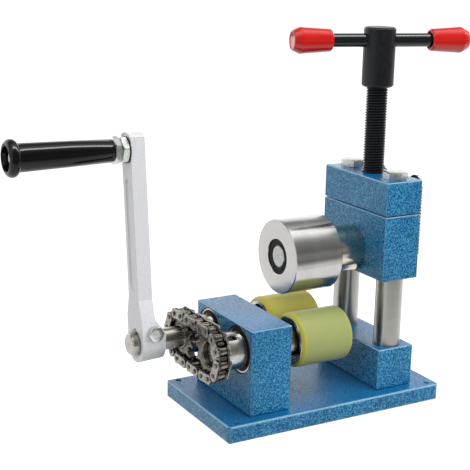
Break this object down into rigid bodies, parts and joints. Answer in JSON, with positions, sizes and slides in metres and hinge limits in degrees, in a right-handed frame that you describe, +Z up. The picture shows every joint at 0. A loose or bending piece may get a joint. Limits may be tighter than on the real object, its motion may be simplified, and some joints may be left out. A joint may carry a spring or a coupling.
{
  "type": "jewelry bending machine",
  "caption": "Hand-cranked bending machine for bangles and rings: chain-linked lower rollers and a screw-pressed upper roller on a blue base plate.",
  "frame": {"origin": "centre of the base plate's underside", "axes": "+X along the roller shafts from the crank to the columns, +Y from the front roller to the rear one, +Z up out of the plate"},
  "size_m": [0.3466, 0.1, 0.2787],
  "materials": {
    "blue_enamel": "blue hammertone enamel, glossy and finely mottled",
    "ground_steel": "ground and turned bright steel",
    "bearing_steel": "ground bearing steel",
    "brown_seal": "brown rubber shield",
    "black_seal": "black rubber shield",
    "black_oxide": "blackened steel, satin",
    "zinc": "bright zinc plating",
    "spring_steel": "dark spring wire",
    "chain_steel": "oiled plain steel",
    "silver_cast": "cast steel with satin silver paint",
    "bronze": "plain bearing bronze",
    "polyurethane": "matte translucent yellow-green polyurethane",
    "black_plastic": "glossy black plastic",
    "red_plastic": "glossy red plastic"
  },
  "bodies": {
    "frame": {"base_plate": "blue_enamel", "bearing_block": "blue_enamel", "column_base": "blue_enamel", "front_column": "ground_steel", "rear_column": "ground_steel", "bridge": "blue_enamel", "bridge_bolts": "zinc", "block_screws": "black_oxide", "column_base_screws": "black_oxide", "column_screws": "black_oxide", "bearing_outer_rings": "bearing_steel", "bearing_seals": "brown_seal", "bearing_balls": "bearing_steel", "bridge_spring_studs": "zinc", "return_springs": "spring_steel", "chain_outer_plates": "chain_steel", "chain_inner_plates": "chain_steel", "chain_rollers": "chain_steel", "chain_pins": "chain_steel"},
    "crank": {"drive_shaft": "ground_steel", "rear_sprocket": "chain_steel", "rear_set_screw": "black_oxide", "rear_inner_rings": "bearing_steel", "rear_roller_core": "ground_steel", "rear_roller_sleeve": "polyurethane", "rear_end_screw": "black_oxide", "crank_arm": "silver_cast", "clamp_bolt": "zinc", "clamp_nut": "zinc", "handle_bolt": "zinc", "handle_washer": "black_plastic", "handle_lock_nuts": "zinc"},
    "handle": {"handle_grip": "black_plastic"},
    "front_roller": {"front_shaft": "ground_steel", "front_sprocket": "chain_steel", "front_set_screw": "black_oxide", "front_inner_rings": "bearing_steel", "front_roller_core": "ground_steel", "front_roller_sleeve": "polyurethane", "front_end_screw": "black_oxide"},
    "head": {"moving_head": "blue_enamel", "guide_bushes": "bronze", "roller_axle": "ground_steel", "spacer_collar": "ground_steel", "axle_nut": "zinc", "head_spring_studs": "zinc", "roller_inner_rings": "bearing_steel"},
    "press_roller": {"upper_roller": "ground_steel", "roller_outer_rings": "bearing_steel", "roller_seals": "black_seal", "roller_balls": "bearing_steel"},
    "screw": {"press_screw": "black_oxide", "t_hub": "black_oxide", "cross_bar": "black_oxide", "left_bar_grip": "red_plastic", "right_bar_grip": "red_plastic"}
  },
  "joints": [
    {"name": "crank_turn", "type": "hinge", "parent": "frame", "child": "crank", "pos_m": [0, 0.02143, 0.0575], "axis": [1, 0, 0], "continuous": true, "deforming": ["chain_outer_plates", "chain_inner_plates", "chain_rollers", "chain_pins"]},
    {"name": "front_roller_turn", "type": "hinge", "parent": "frame", "child": "front_roller", "pos_m": [0, -0.02143, 0.0575], "axis": [1, 0, 0], "continuous": true},
    {"name": "handle_spin", "type": "hinge", "parent": "crank", "child": "handle", "pos_m": [0, 0.02143, 0.1982], "axis": [1, 0, 0], "continuous": true},
    {"name": "head_slide", "type": "slide", "parent": "frame", "child": "head", "axis": [0, 0, -1], "range_m": [0, 0.0148], "deforming": ["return_springs"]},
    {"name": "press_roller_turn", "type": "hinge", "parent": "head", "child": "press_roller", "pos_m": [0, 0, 0.1149], "axis": [1, 0, 0], "continuous": true},
    {"name": "screw_turn", "type": "hinge", "parent": "head", "child": "screw", "pos_m": [0.056, 0, 0.201], "axis": [0, 0, -1], "range_deg": [0, 2664]}
  ],
  "couplings": [
    {"joint": "front_roller_turn", "follows": "crank_turn", "ratio": 1},
    {"joint": "head_slide", "follows": "screw_turn", "m_per_rad": 0.00031831}
  ]
}
